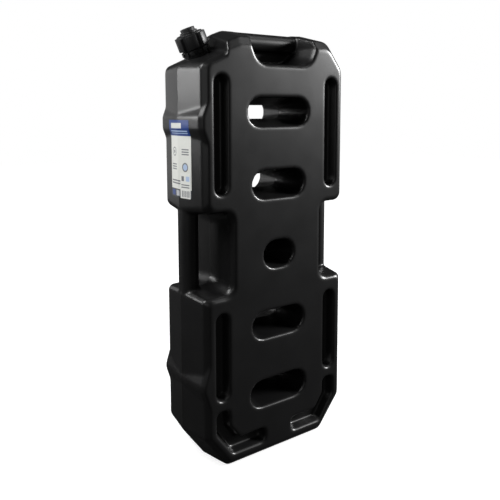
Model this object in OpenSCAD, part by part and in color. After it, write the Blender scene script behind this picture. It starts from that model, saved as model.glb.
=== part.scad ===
// Slab-shaped fuel canister of about 30 litres, blown in one piece, with a lobed screw cap.
// X runs across the wide face, Y through the depth (front face at -Y), Z is up.
// The origin lies in the middle of the base. All lengths are in millimetres.

/* [Body] */
// Width across the two side seams
body_w = 360; // [345:1:375]
// Height of the top edge above the base
body_h = 830; // [815:1:845]
// Depth from the front face to the rear face
body_d = 150; // [140:1:165]
// Thickness of the blown wall
wall = 2.5; // [2:0.1:3.5]
// How far the flat of each face lies inside the side seam
side_inset = 22; // [18:0.5:26]
// How far the flat of each face lies below the top seam
top_inset = 37; // [32:0.5:40]
// Depth of the broken edge round each face
edge_depth = 10; // [8:0.5:13]

/* [Outline] */
// Width of the cut at the bottom corner below the cap, measured on the base
foot_cut_w = 47; // [35:1:55]
// Width of the cut at the other bottom corner
far_foot_cut_w = 53; // [40:1:60]
// Height of the cut at each bottom corner
foot_cut_h = 63; // [50:1:75]
// Width of the cut at the top corner opposite the cap
top_cut_w = 54; // [45:1:65]
// Height of the cut at the top corner opposite the cap
top_cut_h = 68; // [55:1:80]
// Radius of the top corner opposite the cap
top_corner_r = 26; // [18:1:40]
// Width of the sloping platform that carries the cap
deck_w = 67; // [65:0.5:70]
// Drop from the top edge to the outer end of the platform
deck_drop = 69; // [66:1:76]
// Slope of the platform, and tilt of the neck, from level
deck_tilt = 24; // [20:0.5:25]
// Height of the step behind the cap
step_h = 27; // [22:0.5:29]
// How far the grip of the top handle lies below the top edge
grip_drop = 2; // [1:0.5:5]
// How far the upper side pad stands out at the seam
upper_bulge = 2.3; // [1.5:0.1:4]
// Height of the middle of the upper side pad
upper_bulge_z = 654; // [645:1:665]
// How far the lower side pad stands out at the seam
lower_bulge = 1.5; // [1:0.1:3]
// Height of the middle of the lower side pad
lower_bulge_z = 166; // [155:1:180]

/* [Slots] */
// Height of the lowest through slot
slot_low_z = 124; // [118:1:130]
// Distance from one slot to the next
slot_pitch = 137.5; // [132:0.5:139]
// Widths of the slots, from the lowest up
slot_widths = [138, 128, 74, 127, 146];
// Height of every slot at the face
slot_h = 54; // [48:1:60]
// Height of every slot at the middle of the depth
throat_h = 26; // [20:1:34]
// Break of the edge round each slot
slot_edge = 4; // [3:0.5:6]

/* [Grooves] */
// Distance of the stiffening grooves from the middle
groove_x = 133; // [128:1:135]
// Width of the stiffening grooves at the face
groove_w = 29; // [24:1:32]
// Depth of the stiffening grooves
groove_depth = 20; // [12:1:22]
// How much each groove wall leans in
groove_lean = 5; // [3:0.5:7]
// Length of the upper grooves
upper_groove_l = 218; // [200:1:228]
// Drop from the top edge to the upper end of the upper grooves
upper_groove_drop = 89; // [84:1:100]
// Length of the lower grooves
lower_groove_l = 169; // [150:1:176]
// Height of the lower end of the lower grooves
lower_groove_z = 134; // [130:1:140]
// Height of the upper end of the corner grooves
corner_groove_top = 114; // [104:1:117]
// Height of the middle of the foot run of the corner grooves
corner_groove_z = 38; // [34:1:44]
// Distance from the middle to the inner end of the corner grooves
corner_groove_x = 33; // [25:1:45]

/* [Handles] */
// Diameter of the three grips, across the can
grip_d = 35; // [30:0.5:37]
// How much deeper than wide the grips are
grip_oval = 7; // [0:0.5:9]
// Width from the seam to the inner end of each side handle opening
side_hand_w = 71; // [68:1:76]
// Height of the lower end of the side handle openings
side_hand_low = 334; // [328:1:340]
// Height of the side handle openings
side_hand_h = 156; // [146:1:160]
// Radius where the side handle openings meet the sides, at their lower and upper ends
hand_mouth_r = [11, 17];
// Break of the edge round the side handle openings
side_hand_edge = 8; // [5:0.5:9]
// Break of the edge round the top handle opening
top_hand_edge = 5; // [3:0.5:7]
// Draft of the handle openings from the face to the middle
hand_draft = 7; // [5:0.5:10]
// Sideways place of the middle of the top handle
top_hand_x = 15; // [10:1:20]
// Width of the top handle opening at its bottom
top_hand_w = 126; // [116:1:130]
// Width that the top handle opening gains on each side
top_hand_flare = 14; // [10:1:18]
// Radius of the lower corners of the top handle opening
top_hand_r = 36; // [28:1:38]
// Drop from the top edge to the bottom of the top handle opening
top_hand_drop = 67; // [64:1:70]
// Thickness of the pinched web below the top grip
web_t = 5; // [4:0.5:6]

/* [Neck and cap] */
// Distance from the side seam to the neck, level
neck_in = 42.5; // [41:0.5:43]
// Outer diameter of the neck
neck_d = 40; // [36:0.5:42]
// Diameter of the hole through the neck
neck_bore = 32; // [28:0.5:33]
// Height of the neck above the platform
neck_h = 35; // [32:0.5:36]
// Outer diameter of the flange at the root of the neck
flange_d = 49; // [46:0.5:50]
// Depth of the thread on the neck
thread_depth = 1.2; // [0.8:0.1:1.4]
// Thickness of the flange
flange_t = 2.5; // [2:0.25:3]
// Outer diameter of the lugged collar
collar_d = 52; // [49:0.5:54]
// Height of the collar
collar_h = 9.5; // [8:0.5:10.5]
// Outer diameter of the cap over its lobes
cap_d = 58.5; // [56:0.5:60]
// Width of each lobe
lobe_w = 19; // [15:0.5:20]
// Turn of the closed cap about its axis
lobe_turn = 0; // [0:1:59]
// Depth of the recesses between the lobes
lobe_depth = 5; // [3:0.5:6]
// Gap between the collar and the cap
cap_gap = 1.2; // [0.8:0.1:2]
// Thickness of the top of the cap
cap_top_t = 4; // [3:0.5:6]
// Diameter of the button on the cap
button_d = 27; // [20:1:30]
// Height of the button
button_h = 10; // [6:0.5:12]
// Thickness of the gasket in the cap
gasket_t = 2; // [1.5:0.1:3]
// Play between the neck and what turns on it
neck_play = 0.4; // [0.3:0.05:0.6]

/* [Stickers] */
// Thickness of both stickers
sticker_t = 0.3; // [0.2:0.05:0.5]
// Width of the main sticker
label_w = 71; // [60:1:76]
// Height of the top edge of the main sticker
label_top = 660; // [657:0.5:663]
// Length of the main sticker
label_l = 143; // [120:1:148]
// Depth at which the middle of the main sticker lies, from the seam
label_y = -1.5; // [-6:0.5:3]
// Width of the small sticker
tag_w = 29; // [24:1:34]
// How far the small sticker lies inside the front edge of the main one
tag_in = 2.5; // [0:0.5:6]
// Length of the small sticker
tag_l = 47; // [40:1:55]
// How far the small sticker hangs below the main one
tag_hang = 1; // [0:0.5:4]

/* [Hidden] */
eps = 0.6;
half_w = body_w / 2;
half_d = body_d / 2;
foot_sink = 10;
foot_more = 1 + foot_sink / foot_cut_h;
deck_rise = deck_w * tan(deck_tilt);
deck_z = body_h - deck_drop;
hump_w = 16;
hump_ramp = 50;
step_lean = 3;
crest_run = 26;
step_reach = -6;
slope_inset = 32;
deck_inset = 15;
upper_inset = 12;
lower_inset = 9;
upper_pad_h = 22;
lower_pad_h = 9;
upper_ramp = 0.39;
lower_ramp = 0.33;

// Share of the full inset at each depth below a face, from the face to the seam
edge_steps = [[0, 1], [0.07, 0.88], [0.3, 0.77], [1, 0.45]];
face_ys = [for (e = edge_steps) -half_d + e[0] * edge_depth];
seam_steps = concat([for (e = edge_steps) e[1]], [0]);

// Corner points of the can outline at the seam: x, z, corner radius, facets in the corner
outline = [
    [-half_w + foot_cut_w * foot_more, -foot_sink, 10, 2],
    [half_w - far_foot_cut_w * foot_more, -foot_sink, 10, 2],
    [half_w, foot_cut_h, 12, 2],
    [half_w, body_h - top_cut_h, 26, 3],
    [half_w - top_cut_w, body_h, top_corner_r, 5],
    [half_w - top_cut_w - hump_w, body_h, 0, 0],
    [half_w - top_cut_w - hump_w - hump_ramp, body_h - grip_drop, 0, 0],
    [-half_w + deck_w + step_lean + crest_run, body_h - grip_drop, 14, 2],
    [-half_w + deck_w + step_lean, deck_z + deck_rise + step_h, 5, 2],
    [-half_w + deck_w, deck_z + deck_rise, 7, 2],
    [-half_w, deck_z, 14, 3],
    [-half_w, upper_bulge_z + upper_pad_h / 2 + upper_bulge / upper_ramp, 12, 2],
    [-half_w - upper_bulge, upper_bulge_z + upper_pad_h / 2, 8, 2],
    [-half_w - upper_bulge, upper_bulge_z - upper_pad_h / 2, 8, 2],
    [-half_w, upper_bulge_z - upper_pad_h / 2 - upper_bulge / upper_ramp, 12, 2],
    [-half_w, lower_bulge_z + lower_pad_h / 2 + lower_bulge / lower_ramp, 10, 2],
    [-half_w - lower_bulge, lower_bulge_z + lower_pad_h / 2, 10, 2],
    [-half_w - lower_bulge, lower_bulge_z - lower_pad_h / 2, 10, 2],
    [-half_w, lower_bulge_z - lower_pad_h / 2 - lower_bulge / lower_ramp, 10, 2],
    [-half_w, foot_cut_h, 12, 2]
];
// How far each outline edge moves in from the seam to the face, in the same order
edge_insets = [
    side_inset, side_inset, side_inset, side_inset, top_inset, top_inset, top_inset,
    slope_inset, step_reach, deck_inset, side_inset,
    upper_inset * cos(atan(upper_ramp)), upper_inset, upper_inset * cos(atan(upper_ramp)), side_inset,
    lower_inset * cos(atan(lower_ramp)), lower_inset, lower_inset * cos(atan(lower_ramp)), side_inset, side_inset
];

// Outward normal of an edge of an outline that runs anticlockwise
function out_normal(a, b) = [b[1] - a[1], a[0] - b[0]] / norm([b[0] - a[0], b[1] - a[1]]);

// Point where two lines meet, each given by a point and a direction
function meet(p, d, q, e) = p + d * cross(q - p, e) / cross(d, e);

// Corner i of an outline whose edges have moved in by the distances in ins
function moved_corner(v, ins, i) =
    let (n = len(v), a = v[(i + n - 1) % n], b = v[i], c = v[(i + 1) % n])
    let (ab = [b[0] - a[0], b[1] - a[1]], bc = [c[0] - b[0], c[1] - b[1]])
    let (p = [b[0], b[1]] - out_normal(a, b) * ins[(i + n - 1) % n])
    let (q = [b[0], b[1]] - out_normal(b, c) * ins[i])
    meet(p, ab, q, bc);

// Arc that rounds corner b between a and c
function rounded(a, b, c, r, n) =
    n == 0 ? [b] :
    let (u = (a - b) / norm(a - b), w = (c - b) / norm(c - b))
    let (turn = acos(u * w), t = r / tan(turn / 2), m = b + (u + w) / norm(u + w) * r / sin(turn / 2))
    let (s = b + u * t - m, e = b + w * t - m, f = 180 - turn)
    [for (k = [0:n]) m + (s * sin(f * (1 - k / n)) + e * sin(f * k / n)) / sin(f)];

// Rounded outline with its edges moved in by the distances in ins
function ring(v, ins) =
    let (n = len(v), m = [for (i = [0:n - 1]) moved_corner(v, ins, i)])
    [for (i = [0:n - 1]) each rounded(m[(i + n - 1) % n], m[i], m[(i + 1) % n], v[i][2], v[i][3])];

// The same distance for every edge of an outline
function same(v, d) = [for (p = v) d];

// Outline of a slot with round ends, about a centre c
function stadium(c, w, h, n) =
    let (r = min(w, h) / 2, e = max(w, h) / 2 - r, wide = w >= h)
    [for (side = [0, 1]) for (k = [0:n])
        let (a = (wide ? -90 : 0) + 180 * side + 180 * k / n, s = side == 0 ? 1 : -1)
        c + (wide ? [s * e, 0] : [0, s * e]) + r * [cos(a), sin(a)]];

// Solid through rings of equally many points that lie at the given depths.
// Its ends are closed from a middle point, or rung by rung where the outline is a bent band.
module loft(ys, rings, band = false) {
    n = len(rings[0]);
    last = len(ys) - 1;
    mid = [for (i = [0, last]) centre(rings[i])];
    points = concat(
        [for (i = [0:last]) for (p = rings[i]) [p[0], ys[i], p[1]]],
        band ? [] : [[mid[0][0], ys[0], mid[0][1]], [mid[1][0], ys[last], mid[1][1]]]
    );
    walls = [for (i = [0:last - 1]) for (k = [0:n - 1])
        [i * n + k, i * n + (k + 1) % n, (i + 1) * n + (k + 1) % n, (i + 1) * n + k]];
    top = last * n;
    ends = band
        ? [for (k = [0:n / 2 - 2]) each [
            [n - 1 - k, n - 2 - k, k + 1, k],
            [top + k, top + k + 1, top + n - 2 - k, top + n - 1 - k]]]
        : [for (k = [0:n - 1]) each [
            [(last + 1) * n, (k + 1) % n, k],
            [(last + 1) * n + 1, top + k, top + (k + 1) % n]]];
    polyhedron(points = points, faces = concat(walls, ends), convexity = 10);
}
function centre(r) = [
    (min([for (p = r) p[0]]) + max([for (p = r) p[0]])) / 2,
    (min([for (p = r) p[1]]) + max([for (p = r) p[1]])) / 2
];

// The plain slab of the can, with its skin moved in by t
module slab(t) {
    ys = [for (y = face_ys) y + t];
    rings = [for (s = seam_steps) ring(outline, [for (e = edge_insets) e * s + t])];
    back = [for (i = [len(ys) - 1:-1:0]) -ys[i]];
    difference() {
        loft(concat(ys, [0], back), concat(rings, [for (i = [len(ys) - 1:-1:0]) rings[i]]));
        translate([-body_w, -body_d, t - 50])
            cube([2 * body_w, 2 * body_d, 50]);
    }
}

// Depths and growth of a cut that runs through the whole can, with its edge broken by e
function through_ys(e) = [-half_d - 1, -half_d + 0.3 * e, -half_d + e, 0, half_d - e, half_d - 0.3 * e, half_d + 1];
function through_growth(e, draft, t) = [for (g = [e + 1.5, 0.4 * e, 0, -draft, 0, 0.4 * e, e + 1.5]) g + t];

module slot_cuts(t) {
    lean = (slot_h - throat_h) / 2;
    for (i = [0:len(slot_widths) - 1])
        loft(through_ys(slot_edge), [for (g = through_growth(slot_edge, lean, t))
            stadium([0, slot_low_z + i * slot_pitch], slot_widths[i] + 2 * g, slot_h + 2 * g, 7)]);
}

// Depths and growth of a blind groove in the front face
groove_edge = 3;
function groove_ys(t) = [-half_d - 1, -half_d + groove_edge, -half_d + groove_depth + t];
function groove_growth(t) = [for (g = [groove_edge + 1, 0, -groove_lean]) g + t];

// Corner points of the right-hand corner groove, out along one edge and back along the other
knee_z = foot_cut_h + 14;
bend_x = groove_x - (knee_z - corner_groove_z) * foot_cut_w / foot_cut_h;
half_g = groove_w / 2;
groove_turn = atan2(foot_cut_w, foot_cut_h);
up_shift = half_g * tan(groove_turn / 2);
low_shift = half_g * tan((90 - groove_turn) / 2);
corner_band = [
    [groove_x + half_g, knee_z - up_shift, 12, 2],
    [groove_x + half_g, corner_groove_top, 10, 2],
    [groove_x - half_g, corner_groove_top, 10, 2],
    [groove_x - half_g, knee_z + up_shift, 12, 2],
    [bend_x - low_shift, corner_groove_z + half_g, 12, 2],
    [corner_groove_x, corner_groove_z + half_g, 10, 2],
    [corner_groove_x, corner_groove_z - half_g, 10, 2],
    [bend_x + low_shift, corner_groove_z - half_g, 12, 2]
];

module groove_cuts(t) {
    for (face = [0, 1]) mirror([0, face, 0])
        for (side = [0, 1]) mirror([side, 0, 0]) {
            loft(groove_ys(t), [for (g = groove_growth(t)) stadium(
                [groove_x, body_h - upper_groove_drop - upper_groove_l / 2],
                groove_w + 2 * g, upper_groove_l + 2 * g, 6)]);
            loft(groove_ys(t), [for (g = groove_growth(t)) stadium(
                [groove_x, lower_groove_z + lower_groove_l / 2],
                groove_w + 2 * g, lower_groove_l + 2 * g, 6)]);
            loft(groove_ys(t), [for (g = groove_growth(t)) half_turned(ring(corner_band, same(corner_band, -g)))],
                band = true);
        }
}
// Starts the band outline in the middle of one end, so that its two long edges pair up
function half_turned(r) = [for (k = [0:len(r) - 1]) r[(k + 6) % len(r)]];

// Depths at which the handle openings are cut, and how far the can side lies in at each
hand_ys = [-half_d - 1, -half_d + 0.3 * edge_depth, -half_d + edge_depth, 0];
hand_side = [side_inset, seam_steps[2] * side_inset, seam_steps[3] * side_inset, 0];
function hand_growth(e) = [e + 1, 0.4 * e, 0, -hand_draft];
function there_and_back(list) = concat(list, [for (i = [len(list) - 2:-1:0]) list[i]]);
function both_faces(list) = concat(list, [for (i = [len(list) - 2:-1:0]) -list[i]]);

// Outline of the left side handle opening, where the can side lies in by s
function side_hand(s, g, t) =
    let (m = half_w - s + eps, far = half_w + upper_bulge + 20)
    let (low = side_hand_low - g - t, high = side_hand_low + side_hand_h + g + t)
    let (r_low = hand_mouth_r[0] - t, r_high = hand_mouth_r[1] - t)
    let (inner = half_w - side_hand_w - max(g, -hand_draft / 2) - t)
    ring([
        [-far, low - r_low - 2, 0, 0],
        [-m + t, low - r_low - 2, 0, 0],
        [-m + t, low, r_low, 3],
        [-inner, low, 22, 4],
        [-inner, high, 22, 4],
        [-m + t, high, r_high, 4],
        [-m + t, high + r_high + 2, 0, 0],
        [-far, high + r_high + 2, 0, 0]
    ], [for (i = [0:7]) 0]);

module side_hand_cuts(t) {
    growth = hand_growth(side_hand_edge);
    for (side = [0, 1]) mirror([side, 0, 0])
        loft(both_faces(hand_ys), there_and_back([for (i = [0:3]) side_hand(hand_side[i], growth[i], t)]));
}

// Outline of the top handle opening
top_hand_low = body_h - top_hand_drop;
top_hand_side = top_hand_w / 2 + top_hand_flare;
top_hand = [
    [top_hand_x - top_hand_w / 2, top_hand_low, top_hand_r, 6],
    [top_hand_x + top_hand_w / 2, top_hand_low, top_hand_r, 6],
    [top_hand_x + top_hand_side, body_h - top_inset + 4, 0, 0],
    [top_hand_x + top_hand_side, body_h + 20, 0, 0],
    [top_hand_x - top_hand_side, body_h + 20, 0, 0],
    [top_hand_x - top_hand_side, body_h - top_inset + 4, 0, 0]
];

module top_hand_cut(t) {
    loft(both_faces(hand_ys),
        there_and_back([for (g = hand_growth(top_hand_edge)) ring(top_hand, same(top_hand, -g - t))]));
}

grip_r = grip_d / 2;
grip_in = 1.2;
top_grip_z = body_h - grip_drop - grip_in - grip_r;
top_grip_l = 2 * top_hand_side + 6;

// Bar of oval section along Z, with its skin moved in by t
module grip_bar(l, t) {
    for (s = [-1, 1])
        translate([0, s * grip_oval / 2, 0]) cylinder(h = l, r = grip_r - t, $fn = 48);
    translate([-grip_r + t, -grip_oval / 2, 0]) cube([2 * (grip_r - t), grip_oval, l]);
}

// The three grips, with their skin moved in by t
module grips(t) {
    reach = 6 + 3 * t;
    for (s = [-1, 1])
        translate([s * (half_w - grip_in - grip_r), 0, side_hand_low - reach])
            grip_bar(side_hand_h + 2 * reach, t);
    translate([top_hand_x - top_grip_l / 2 - 3 * t, 0, top_grip_z]) rotate([0, 90, 0])
        grip_bar(top_grip_l + 6 * t, t);
}

// The form of the can with its skin moved in by t: the outside at 0, the inside at the wall thickness
module can_form(t) {
    difference() {
        slab(t);
        slot_cuts(t);
        groove_cuts(t);
        side_hand_cuts(t);
        top_hand_cut(t);
    }
    grips(t);
}

// Pinched web that closes the opening below the top grip
module top_web() {
    low = top_hand_low + hand_draft;
    wide = top_hand_w / 2 - top_hand_r / 2;
    translate([0, web_t / 2, 0]) rotate([90, 0, 0]) linear_extrude(web_t) polygon([
        [top_hand_x - wide, low - 5],
        [top_hand_x + wide, low - 5],
        [top_hand_x + top_hand_side, top_grip_z - 8],
        [top_hand_x + top_hand_side, top_grip_z],
        [top_hand_x - top_hand_side, top_grip_z],
        [top_hand_x - top_hand_side, top_grip_z - 8]
    ]);
}

// Puts what stands on the neck axis on the platform
module on_neck() {
    translate([-half_w + neck_in, 0, deck_z + neck_in * tan(deck_tilt)]) rotate([0, -deck_tilt, 0])
        children();
}

// Thread ridge round the neck, one flat-topped turn above the other
thread_turns = 3;
thread_lead = 5;
thread_n = 24;
module neck_thread() {
    root = neck_d / 2 - 2;
    tip = neck_d / 2;
    last = thread_turns * thread_n;
    points = [for (i = [0:last]) let (a = 360 * i / thread_n, z = neck_h - 3 - thread_lead * i / thread_n)
        for (p = [[root, -1.5], [tip, -0.6], [tip, 0.6], [root, 1.5]]) [p[0] * cos(a), -p[0] * sin(a), z + p[1]]];
    faces = [for (i = [0:last - 1]) for (k = [0:3])
        [4 * i + k, 4 * i + 4 + k, 4 * i + 4 + (k + 1) % 4, 4 * i + (k + 1) % 4]];
    polyhedron(points = points, faces = concat(faces, [[0, 1, 2, 3], [for (k = [3:-1:0]) 4 * last + k]]));
}

module body() color([0.05, 0.05, 0.055]) {
    difference() {
        union() {
            difference() {
                can_form(0);
                can_form(wall);
            }
            on_neck() {
                translate([0, 0, -5])
                    cylinder(h = neck_h + 5, r = neck_d / 2 - thread_depth, $fn = 96);
                neck_thread();
                translate([0, 0, -4])
                    cylinder(h = flange_t + 4, r = flange_d / 2, $fn = 96);
            }
        }
        on_neck() translate([0, 0, -20])
            cylinder(h = neck_h + 21, r = neck_bore / 2, $fn = 96);
    }
    top_web();
}

collar_low = flange_t;
cap_low = collar_low + collar_h + cap_gap;
gasket_low = neck_h;
cap_roof = gasket_low + gasket_t;
cap_high = cap_roof + cap_top_t;
turning_r = neck_d / 2 + neck_play;

// Ring round the root of the neck, with a row of lugs
module neck_collar() color([0.06, 0.06, 0.065]) on_neck() difference() {
    union() {
        translate([0, 0, collar_low]) cylinder(h = collar_h, r = collar_d / 2 - 2.5, $fn = 96);
        for (k = [0:11]) rotate([0, 0, 30 * k + 15])
            translate([collar_d / 2 - 6, -4.5, collar_low + 1.5]) cube([6, 9, collar_h - 3]);
    }
    translate([0, 0, collar_low - 1]) cylinder(h = collar_h + 2, r = turning_r, $fn = 96);
}

// Screw cap with six grip lobes and a stepped button
module cap() color([0.06, 0.06, 0.065]) on_neck() difference() {
    union() {
        translate([0, 0, cap_low]) cylinder(h = cap_high - cap_low, r = cap_d / 2 - lobe_depth, $fn = 96);
        intersection() {
            translate([0, 0, cap_low + 1.5])
                cylinder(h = cap_high - cap_low - 4, r = cap_d / 2, $fn = 96);
            for (k = [0:5]) rotate([0, 0, 60 * k + lobe_turn]) translate([0, -lobe_w / 2, cap_low])
                cube([cap_d / 2 + 1, lobe_w, cap_high - cap_low]);
        }
        translate([0, 0, cap_high]) cylinder(h = button_h * 0.4, r = button_d / 2 + 3, $fn = 12);
        translate([0, 0, cap_high]) cylinder(h = button_h, r = button_d / 2, $fn = 12);
    }
    translate([0, 0, cap_low - 1]) cylinder(h = cap_roof - cap_low + 1, r = turning_r, $fn = 96);
}

// Flat ring that seals the cap on the mouth of the neck
module cap_gasket() color([0.12, 0.12, 0.12]) on_neck() difference() {
    translate([0, 0, gasket_low]) cylinder(h = gasket_t, r = neck_d / 2 - 0.5, $fn = 96);
    translate([0, 0, gasket_low - 1]) cylinder(h = gasket_t + 2, r = neck_bore / 2, $fn = 96);
}

sticker_lift = 0.03;

// Sheet on the left side of the can, between two depths and two heights, lifted off its skin
module side_sheet(y_low, y_high, z_low, z_high, lift) intersection() {
    translate([-body_w, y_low, z_low]) cube([body_w, y_high - y_low, z_high - z_low]);
    difference() {
        slab(-lift - sticker_t);
        slab(-lift);
    }
}

// Main sticker, wrapped over the seam and the lower ramp of the upper pad
module main_label() color([0.85, 0.87, 0.9])
    side_sheet(label_y - label_w / 2, label_y + label_w / 2, label_top - label_l, label_top, sticker_lift);

// Small sticker, laid over the lower front corner of the main one
tag_low = label_top - label_l - tag_hang;
module small_label() color([0.9, 0.9, 0.9])
    side_sheet(label_y - label_w / 2 + tag_in, label_y - label_w / 2 + tag_in + tag_w, tag_low, tag_low + tag_l,
        sticker_t + 2 * sticker_lift);

body();
neck_collar();
cap();
cap_gasket();
main_label();
small_label();
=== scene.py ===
import math

import bpy
from mathutils import Matrix, Vector


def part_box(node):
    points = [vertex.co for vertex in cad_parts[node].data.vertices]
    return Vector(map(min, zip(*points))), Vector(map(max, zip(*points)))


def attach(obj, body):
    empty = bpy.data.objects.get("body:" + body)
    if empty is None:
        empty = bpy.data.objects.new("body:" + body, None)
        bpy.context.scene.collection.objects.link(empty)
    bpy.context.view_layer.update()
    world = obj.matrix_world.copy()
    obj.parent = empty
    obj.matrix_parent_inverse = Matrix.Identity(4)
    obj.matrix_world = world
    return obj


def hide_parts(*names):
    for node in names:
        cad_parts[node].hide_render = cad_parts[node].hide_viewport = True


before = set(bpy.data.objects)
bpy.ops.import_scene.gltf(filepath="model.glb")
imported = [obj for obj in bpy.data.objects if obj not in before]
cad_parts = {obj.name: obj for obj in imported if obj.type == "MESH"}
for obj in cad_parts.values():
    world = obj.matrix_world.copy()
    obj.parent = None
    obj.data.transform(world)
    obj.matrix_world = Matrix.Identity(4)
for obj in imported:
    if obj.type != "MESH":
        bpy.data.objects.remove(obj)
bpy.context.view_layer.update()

# The can: one blow-moulded shell of black polyethylene, with its slots, grooves and three grips.
# Blow moulding rounds every edge, so the fine skin below softens the edges of the CAD form.
# The neck is cut from the form and kept sharp, because it is formed against a steel insert.
SKIN_PITCH = 0.002
SKIN_ROUNDING = 9
SKIN_TRIANGLES = 165000
SMOOTH_ANGLE = math.radians(34)
NECK_FOOT = Vector((-0.1375, 0, 0.779922))
NECK_AXIS = Vector((-0.406737, 0, 0.913545))
NECK_REACH = 0.0247
NECK_ROOT = -0.0058


def take(*pieces):
    """Selects these pieces alone, the first one active."""
    bpy.ops.object.select_all(action="DESELECT")
    for piece in pieces:
        piece.select_set(True)
    bpy.context.view_layer.objects.active = pieces[0]


def merged_copy(node, name):
    """A copy of a CAD node with its loose triangles joined at their corners."""
    piece = bpy.data.objects.new(name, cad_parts[node].data.copy())
    bpy.context.scene.collection.objects.link(piece)
    piece.data.name = name
    piece.data.materials.clear()
    take(piece)
    bpy.ops.object.mode_set(mode="EDIT")
    bpy.ops.mesh.select_all(action="SELECT")
    bpy.ops.mesh.customdata_custom_splitnormals_clear()
    bpy.ops.mesh.remove_doubles(threshold=0.00001)
    bpy.ops.object.mode_set(mode="OBJECT")
    return piece


def finish_with(piece, kind, **settings):
    """Adds a modifier, gives it its settings and applies it."""
    take(piece)
    modifier = piece.modifiers.new(kind.lower(), kind)
    for name, value in settings.items():
        setattr(modifier, name, value)
    bpy.ops.object.modifier_apply(modifier=modifier.name)


def on_neck(point):
    """Whether a point of the can lies on its neck, above the neck's root."""
    rise = (point - NECK_FOOT).dot(NECK_AXIS)
    away = (point - NECK_FOOT - NECK_AXIS * rise).length
    return rise > NECK_ROOT and away < NECK_REACH


def split_neck(can):
    """Cuts the neck off the can and returns it, with its open ends closed."""
    take(can)
    bpy.ops.object.mode_set(mode="EDIT")
    bpy.ops.mesh.select_mode(type="FACE")
    bpy.ops.mesh.select_all(action="DESELECT")
    bpy.ops.object.mode_set(mode="OBJECT")
    inside = [on_neck(v.co) for v in can.data.vertices]
    for face in can.data.polygons:
        face.select = all(inside[v] for v in face.vertices)
    bpy.ops.object.mode_set(mode="EDIT")
    bpy.ops.mesh.separate(type="SELECTED")
    bpy.ops.object.mode_set(mode="OBJECT")
    neck = next(o for o in bpy.context.selected_objects if o is not can)
    close_holes(neck)
    return neck


def close_holes(piece):
    """Closes every open rim of a mesh and turns its faces outwards."""
    take(piece)
    bpy.ops.object.mode_set(mode="EDIT")
    bpy.ops.mesh.select_all(action="SELECT")
    bpy.ops.mesh.fill_holes(sides=0)
    bpy.ops.mesh.select_all(action="SELECT")
    bpy.ops.mesh.normals_make_consistent(inside=False)
    bpy.ops.object.mode_set(mode="OBJECT")


def keep_outer_skin(can):
    """Leaves the outer skin of the hollow can, closed below the neck."""
    take(can)
    bpy.ops.object.mode_set(mode="EDIT")
    bpy.ops.mesh.select_all(action="SELECT")
    bpy.ops.mesh.separate(type="LOOSE")
    bpy.ops.object.mode_set(mode="OBJECT")
    skins = list(bpy.context.selected_objects)
    outer = max(skins, key=lambda o: o.dimensions.x * o.dimensions.y * o.dimensions.z)
    for skin in skins:
        if skin is not outer:
            bpy.data.objects.remove(skin)
    close_holes(outer)
    return outer


can = merged_copy("body", "can")
neck = split_neck(can)
can = keep_outer_skin(can)
can.name = "can"
finish_with(can, "REMESH", mode="VOXEL", voxel_size=SKIN_PITCH)
finish_with(can, "SMOOTH", factor=0.5, iterations=SKIN_ROUNDING)
skin_triangles = sum(len(f.vertices) - 2 for f in can.data.polygons)
finish_with(can, "DECIMATE", ratio=min(1.0, SKIN_TRIANGLES / skin_triangles))
take(can, neck)
bpy.ops.object.join()
bpy.ops.object.shade_smooth_by_angle(angle=SMOOTH_ANGLE)


def plastic(name, color, roughness, grain, grain_depth):
    """Moulded plastic: a fine grain, faint flow marks, and a slightly uneven sheen."""
    material = bpy.data.materials.new(name)
    material.use_nodes = True
    nodes, links = material.node_tree.nodes, material.node_tree.links
    shader = nodes["Principled BSDF"]
    where = nodes.new("ShaderNodeTexCoord")
    fine = nodes.new("ShaderNodeTexNoise")
    fine.inputs["Scale"].default_value = grain
    fine.inputs["Detail"].default_value = 3
    broad = nodes.new("ShaderNodeTexNoise")
    broad.inputs["Scale"].default_value = 14
    broad.inputs["Detail"].default_value = 4
    for noise in (fine, broad):
        links.new(where.outputs["Object"], noise.inputs["Vector"])
    tint = nodes.new("ShaderNodeMix")
    tint.data_type = "RGBA"
    tint.inputs["A"].default_value = (*[0.8 * c for c in color], 1)
    tint.inputs["B"].default_value = (*[1.25 * c for c in color], 1)
    links.new(broad.outputs["Fac"], tint.inputs["Factor"])
    links.new(tint.outputs["Result"], shader.inputs["Base Color"])
    sheen = nodes.new("ShaderNodeMapRange")
    sheen.inputs["To Min"].default_value = roughness - 0.05
    sheen.inputs["To Max"].default_value = roughness + 0.05
    links.new(broad.outputs["Fac"], sheen.inputs["Value"])
    links.new(sheen.outputs["Result"], shader.inputs["Roughness"])
    bump = nodes.new("ShaderNodeBump")
    bump.inputs["Strength"].default_value = 0.35
    bump.inputs["Distance"].default_value = grain_depth
    links.new(fine.outputs["Fac"], bump.inputs["Height"])
    links.new(bump.outputs["Normal"], shader.inputs["Normal"])
    return material, bump


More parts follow.
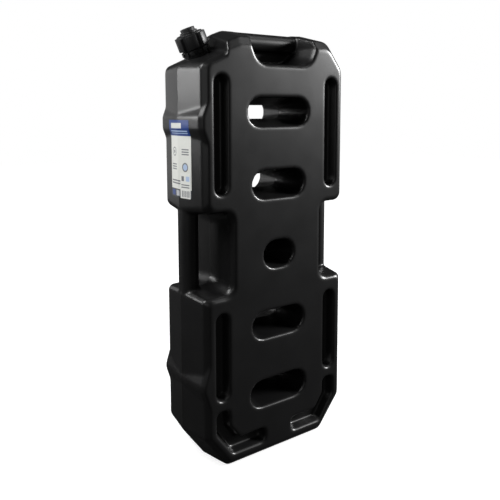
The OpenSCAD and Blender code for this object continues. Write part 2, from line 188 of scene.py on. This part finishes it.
SEAM_HALF_WIDTH = 0.0004
SEAM_RISE = 0.0004
can_plastic, can_grain = plastic("can_plastic", (0.0055, 0.0055, 0.0057), 0.35, 900, 0.0001)
tree = can_plastic.node_tree
where = next(n for n in tree.nodes if n.type == "TEX_COORD")
depth = tree.nodes.new("ShaderNodeSeparateXYZ")
tree.links.new(where.outputs["Object"], depth.inputs["Vector"])
flash = tree.nodes.new("ShaderNodeMath")
flash.operation = "COMPARE"
flash.inputs[1].default_value = 0
flash.inputs[2].default_value = SEAM_HALF_WIDTH
tree.links.new(depth.outputs["Y"], flash.inputs[0])
seam = tree.nodes.new("ShaderNodeBump")
seam.inputs["Strength"].default_value = 0.5
seam.inputs["Distance"].default_value = SEAM_RISE
tree.links.new(flash.outputs["Value"], seam.inputs["Height"])
tree.links.new(seam.outputs["Normal"], can_grain.inputs["Normal"])
can.data.materials.clear()
can.data.materials.append(can_plastic)
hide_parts("body")
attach(can, "can")

# The collar: a ring of black plastic pressed over the root of the neck, with twelve lugs.
# Its moulded edges are slightly broken.
COLLAR_EDGE_BREAK = 0.0006
FACET_ANGLE = math.radians(1)
EDGE_ANGLE = math.radians(40)


def moulded_copy(node, name, width):
    """A copy of a CAD node with its flat facets merged and its edges broken."""
    piece = merged_copy(node, name)
    bpy.ops.object.mode_set(mode="EDIT")
    bpy.ops.mesh.select_all(action="SELECT")
    bpy.ops.mesh.dissolve_limited(angle_limit=FACET_ANGLE)
    bpy.ops.object.mode_set(mode="OBJECT")
    finish_with(piece, "BEVEL", width=width, segments=3, limit_method="ANGLE", angle_limit=EDGE_ANGLE)
    bpy.ops.object.shade_smooth_by_angle(angle=SMOOTH_ANGLE)
    return piece


collar = moulded_copy("neck_collar", "collar", COLLAR_EDGE_BREAK)
collar_plastic, _ = plastic("collar_plastic", (0.012, 0.012, 0.0126), 0.42, 1400, 0.00006)
collar.data.materials.append(collar_plastic)
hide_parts("neck_collar")
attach(collar, "can")

# The cap: an injection-moulded screw cap with six lobes and a stepped button on top.
# It is a little duller than the can, and its edges are broken more than the collar's.
CAP_EDGE_BREAK = 0.0009
screw_cap = moulded_copy("cap", "screw_cap", CAP_EDGE_BREAK)
cap_plastic, _ = plastic("cap_plastic", (0.013, 0.0132, 0.014), 0.45, 1600, 0.00005)
screw_cap.data.materials.append(cap_plastic)
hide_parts("cap")
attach(screw_cap, "lid")

# The gasket: a flat rubber ring that lies in the cap on the mouth of the neck.
# It leaves the neck with the cap, and shows only when the cap is off.
GASKET_EDGE_BREAK = 0.0002
gasket = moulded_copy("cap_gasket", "gasket", GASKET_EDGE_BREAK)
gasket_rubber, _ = plastic("gasket_rubber", (0.03, 0.03, 0.03), 0.7, 2000, 0.00005)
gasket.data.materials.append(gasket_rubber)
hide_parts("cap_gasket")
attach(gasket, "seal")

# The main sticker: a printed film with a blue header, laid over the left side's seam and bulge.
# Its print is generic: plain fields, discs and bars, with no lettering.
FILM = 0.0002
MAIN_LIFT = 0.0001
PAPER = (0.7, 0.71, 0.67)
HEADER_BLUE = (0.018, 0.05, 0.21)
SOFT_BLUE = (0.42, 0.53, 0.72)
PRINT_GREY = (0.16, 0.165, 0.18)
FOOT_GREY = (0.045, 0.05, 0.06)
PAPER_GREY = (0.45, 0.46, 0.48)


def laid_film(node, name, lift):
    """A film of a CAD sticker's size, projected on the skin of the can and given its thickness."""
    low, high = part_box(node)
    middle = (low + high) / 2
    bpy.ops.object.select_all(action="DESELECT")
    bpy.ops.mesh.primitive_grid_add(
        x_subdivisions=40, y_subdivisions=24, size=1,
        location=(low.x - 0.02, middle.y, middle.z), rotation=(0, -math.pi / 2, 0))
    film = bpy.context.object
    film.name = film.data.name = name
    film.scale = (high.z - low.z, high.y - low.y, 1)
    bpy.ops.object.transform_apply(location=True, rotation=True, scale=True)
    finish_with(
        film, "SHRINKWRAP", target=can, wrap_method="PROJECT", use_project_x=True,
        use_positive_direction=True, use_negative_direction=False, offset=lift)
    finish_with(film, "SOLIDIFY", thickness=FILM, offset=1)
    bpy.ops.object.shade_smooth_by_angle(angle=SMOOTH_ANGLE)
    return film


def film_material(name, paper, fields, discs=()):
    """A printed film: rectangles (y, z, half width, half height, color) and discs (y, z, radius, color)."""
    material = bpy.data.materials.new(name)
    material.use_nodes = True
    nodes, links = material.node_tree.nodes, material.node_tree.links
    shader = nodes["Principled BSDF"]
    shader.inputs["Roughness"].default_value = 0.32
    where = nodes.new("ShaderNodeTexCoord")
    axes = nodes.new("ShaderNodeSeparateXYZ")
    links.new(where.outputs["Object"], axes.inputs["Vector"])
    flat = nodes.new("ShaderNodeCombineXYZ")
    links.new(axes.outputs["Y"], flat.inputs["Y"])
    links.new(axes.outputs["Z"], flat.inputs["Z"])
    mottle = nodes.new("ShaderNodeTexNoise")
    mottle.inputs["Scale"].default_value = 120
    links.new(where.outputs["Object"], mottle.inputs["Vector"])
    ground = nodes.new("ShaderNodeMix")
    ground.data_type = "RGBA"
    ground.inputs["A"].default_value = (*[0.95 * c for c in paper], 1)
    ground.inputs["B"].default_value = (*[min(1, 1.04 * c) for c in paper], 1)
    links.new(mottle.outputs["Fac"], ground.inputs["Factor"])
    color = ground.outputs["Result"]

    def calculate(operation, a, b, c=0.0):
        step = nodes.new("ShaderNodeMath")
        step.operation = operation
        for socket, value in zip(step.inputs, (a, b, c)):
            if isinstance(value, (int, float)):
                socket.default_value = value
            else:
                links.new(value, socket)
        return step.outputs["Value"]

    def paint(under, mask, tone):
        coat = nodes.new("ShaderNodeMix")
        coat.data_type = "RGBA"
        coat.inputs["B"].default_value = (*tone, 1)
        links.new(mask, coat.inputs["Factor"])
        links.new(under, coat.inputs["A"])
        return coat.outputs["Result"]

    for y, z, half_y, half_z, tone in fields:
        across = calculate("COMPARE", axes.outputs["Y"], y, half_y)
        up = calculate("COMPARE", axes.outputs["Z"], z, half_z)
        color = paint(color, calculate("MULTIPLY", across, up), tone)
    for y, z, radius, tone in discs:
        apart = nodes.new("ShaderNodeVectorMath")
        apart.operation = "DISTANCE"
        apart.inputs[1].default_value = (0, y, z)
        links.new(flat.outputs["Vector"], apart.inputs[0])
        color = paint(color, calculate("LESS_THAN", apart.outputs["Value"], radius), tone)
    links.new(color, shader.inputs["Base Color"])
    return material


main_film = laid_film("main_label", "main_film", MAIN_LIFT)
header = [
    (-0.0015, 0.6455, 0.0356, 0.0146, HEADER_BLUE),
    (0.006, 0.6495, 0.019, 0.005, PAPER),
    (-0.0015, 0.6395, 0.029, 0.0011, SOFT_BLUE),
    (-0.0015, 0.6355, 0.029, 0.0007, SOFT_BLUE),
]
rows = [(-0.02, z, 0.01, 0.0011, PRINT_GREY) for z in (0.606, 0.6015, 0.597)]
rows += [(0.018, z, 0.01, 0.0011, PRINT_GREY) for z in (0.578, 0.5735, 0.569)]
rows += [(0.0, 0.5475, 0.03, 0.0013, PRINT_GREY), (0.009, 0.5425, 0.021, 0.0013, PRINT_GREY)]
foot = [
    (-0.0015, 0.5245, 0.0356, 0.0076, FOOT_GREY),
    (0.0235, 0.5245, 0.007, 0.0052, HEADER_BLUE),
    (0.0045, 0.5245, 0.007, 0.0052, PAPER_GREY),
]
marks = [
    (0.0175, 0.6015, 0.0085, PRINT_GREY),
    (0.0175, 0.6015, 0.0066, PAPER),
    (0.0175, 0.6015, 0.0032, PRINT_GREY),
    (-0.0195, 0.5735, 0.0085, PRINT_GREY),
    (-0.0195, 0.5735, 0.006, SOFT_BLUE),
]
label_film = film_material("label_film", PAPER, header + rows + foot, marks)
main_film.data.materials.append(label_film)
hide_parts("main_label")
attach(main_film, "can")

# The small sticker: a plain white film with a block of grey bars, laid over the main one's edge.
# It lies on top of the main film, so it is lifted off the can by more than that film's thickness.
SMALL_LIFT = 0.00042
small_film = laid_film("small_label", "small_film", SMALL_LIFT)
bars = [(-0.0317 + 0.0026 * i, 0.5245, 0.0005 + 0.0002 * (i % 3), 0.0058, PRINT_GREY) for i in range(9)]
lines = [(-0.02, z, 0.0115, 0.001, PRINT_GREY) for z in (0.5365, 0.541)]
block = [(-0.0265, 0.5525, 0.005, 0.0045, SOFT_BLUE), (-0.0125, 0.5525, 0.0035, 0.0045, PRINT_GREY)]
small_label_film = film_material("small_label_film", (0.74, 0.75, 0.72), bars + lines + block)
small_film.data.materials.append(small_label_film)
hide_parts("small_label")
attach(small_film, "can")

# The studio: a white floor and six soft lamps, the strongest at the front right and high on the left.
# Floor and room are white to the camera alone and dark to the plastic, whose sheen comes from the lamps.
bpy.ops.object.select_all(action="DESELECT")
bpy.ops.mesh.primitive_plane_add(size=14, location=(0, 0, -0.0004))
floor = bpy.context.object
floor.name = "floor"
floor_white = bpy.data.materials.new("floor_white")
floor_white.use_nodes = True
nodes, links = floor_white.node_tree.nodes, floor_white.node_tree.links
paint = nodes["Principled BSDF"]
paint.inputs["Roughness"].default_value = 0.9
paint.inputs["Specular IOR Level"].default_value = 0.1
seen = nodes.new("ShaderNodeLightPath")
tone = nodes.new("ShaderNodeMix")
tone.data_type = "RGBA"
tone.inputs["A"].default_value = (0.03, 0.03, 0.03, 1)
tone.inputs["B"].default_value = (0.55, 0.55, 0.55, 1)
links.new(seen.outputs["Is Camera Ray"], tone.inputs["Factor"])
links.new(tone.outputs["Result"], paint.inputs["Base Color"])
where = nodes.new("ShaderNodeTexCoord")
reach = nodes.new("ShaderNodeVectorMath")
reach.operation = "LENGTH"
links.new(where.outputs["Object"], reach.inputs[0])
fade = nodes.new("ShaderNodeMapRange")
fade.inputs["From Min"].default_value = 0.3
fade.inputs["From Max"].default_value = 1.6
fade.inputs["To Min"].default_value = 0.7
fade.inputs["To Max"].default_value = 1.0
links.new(reach.outputs["Value"], fade.inputs["Value"])
lift = nodes.new("ShaderNodeMath")
lift.operation = "MULTIPLY"
links.new(seen.outputs["Is Camera Ray"], lift.inputs[0])
links.new(fade.outputs["Result"], lift.inputs[1])
glow = nodes.new("ShaderNodeEmission")
links.new(lift.outputs["Value"], glow.inputs["Strength"])
both = nodes.new("ShaderNodeAddShader")
links.new(paint.outputs["BSDF"], both.inputs[0])
links.new(glow.outputs["Emission"], both.inputs[1])
links.new(both.outputs["Shader"], nodes["Material Output"].inputs["Surface"])
floor.data.materials.append(floor_white)


def soft_lamp(name, place, aim, size, power):
    """A rectangular lamp at a place, turned to its aim."""
    light = bpy.data.lights.new(name, "AREA")
    light.shape = "RECTANGLE"
    light.size, light.size_y = size
    light.energy = power
    lamp = bpy.data.objects.new(name, light)
    bpy.context.scene.collection.objects.link(lamp)
    lamp.location = place
    lamp.rotation_euler = (Vector(aim) - Vector(place)).to_track_quat("-Z", "Y").to_euler()


soft_lamp("front_right", (2.95, -1.5, 1.55), (0.1, 0, 0.7), (0.9, 0.7), 185)
soft_lamp("rear_left", (-2.0, 1.7, 1.1), (-0.15, 0, 0.7), (0.7, 0.7), 22)
soft_lamp("rear", (-0.5, 2.6, 0.75), (-0.1, 0, 0.6), (0.8, 1.3), 3.5)
soft_lamp("overhead", (0.9, -0.7, 2.3), (0, 0, 0.4), (0.8, 0.8), 3.5)
soft_lamp("left_high", (-1.4, 0.15, 1.95), (-0.15, 0, 0.6), (1.0, 1.0), 36)
soft_lamp("left_front", (-1.7, -1.2, 0.9), (-0.15, 0, 0.6), (1.0, 1.0), 2)

world = bpy.data.worlds.new("studio")
bpy.context.scene.world = world
world.use_nodes = True
nodes, links = world.node_tree.nodes, world.node_tree.links
room = nodes["Background"]
room.inputs["Color"].default_value = (1, 1, 1, 1)
seen = nodes.new("ShaderNodeLightPath")
level = nodes.new("ShaderNodeMapRange")
level.inputs["To Min"].default_value = 0.05
level.inputs["To Max"].default_value = 1.0
links.new(seen.outputs["Is Camera Ray"], level.inputs["Value"])
links.new(level.outputs["Result"], room.inputs["Strength"])

# The camera: the photograph's viewpoint, from the left front and slightly above the middle.
# Its lens shift carries the perspective of a picture cut from a larger frame.
TURN = math.radians(-35.3721)
TILT = math.radians(6.0061)
ROLL = math.radians(-0.2442)
back = Vector((math.sin(TURN) * math.cos(TILT), -math.cos(TURN) * math.cos(TILT), math.sin(TILT)))
level_right = Vector((math.cos(TURN), math.sin(TURN), 0))
level_up = back.cross(level_right)
right = level_right * math.cos(ROLL) + level_up * math.sin(ROLL)
up = level_up * math.cos(ROLL) - level_right * math.sin(ROLL)
spot = Vector((-0.7333, -0.9796, 0.6739))
lens = bpy.data.cameras.new("camera")
lens.sensor_width = 36
lens.lens = 43.6793
lens.shift_x = 0.01766
lens.shift_y = -0.14827
camera = bpy.data.objects.new("camera", lens)
bpy.context.scene.collection.objects.link(camera)
camera.matrix_world = Matrix((
    (right.x, up.x, back.x, spot.x),
    (right.y, up.y, back.y, spot.y),
    (right.z, up.z, back.z, spot.z),
    (0, 0, 0, 1)))
bpy.context.scene.camera = camera
bpy.context.scene.view_settings.view_transform = "Standard"
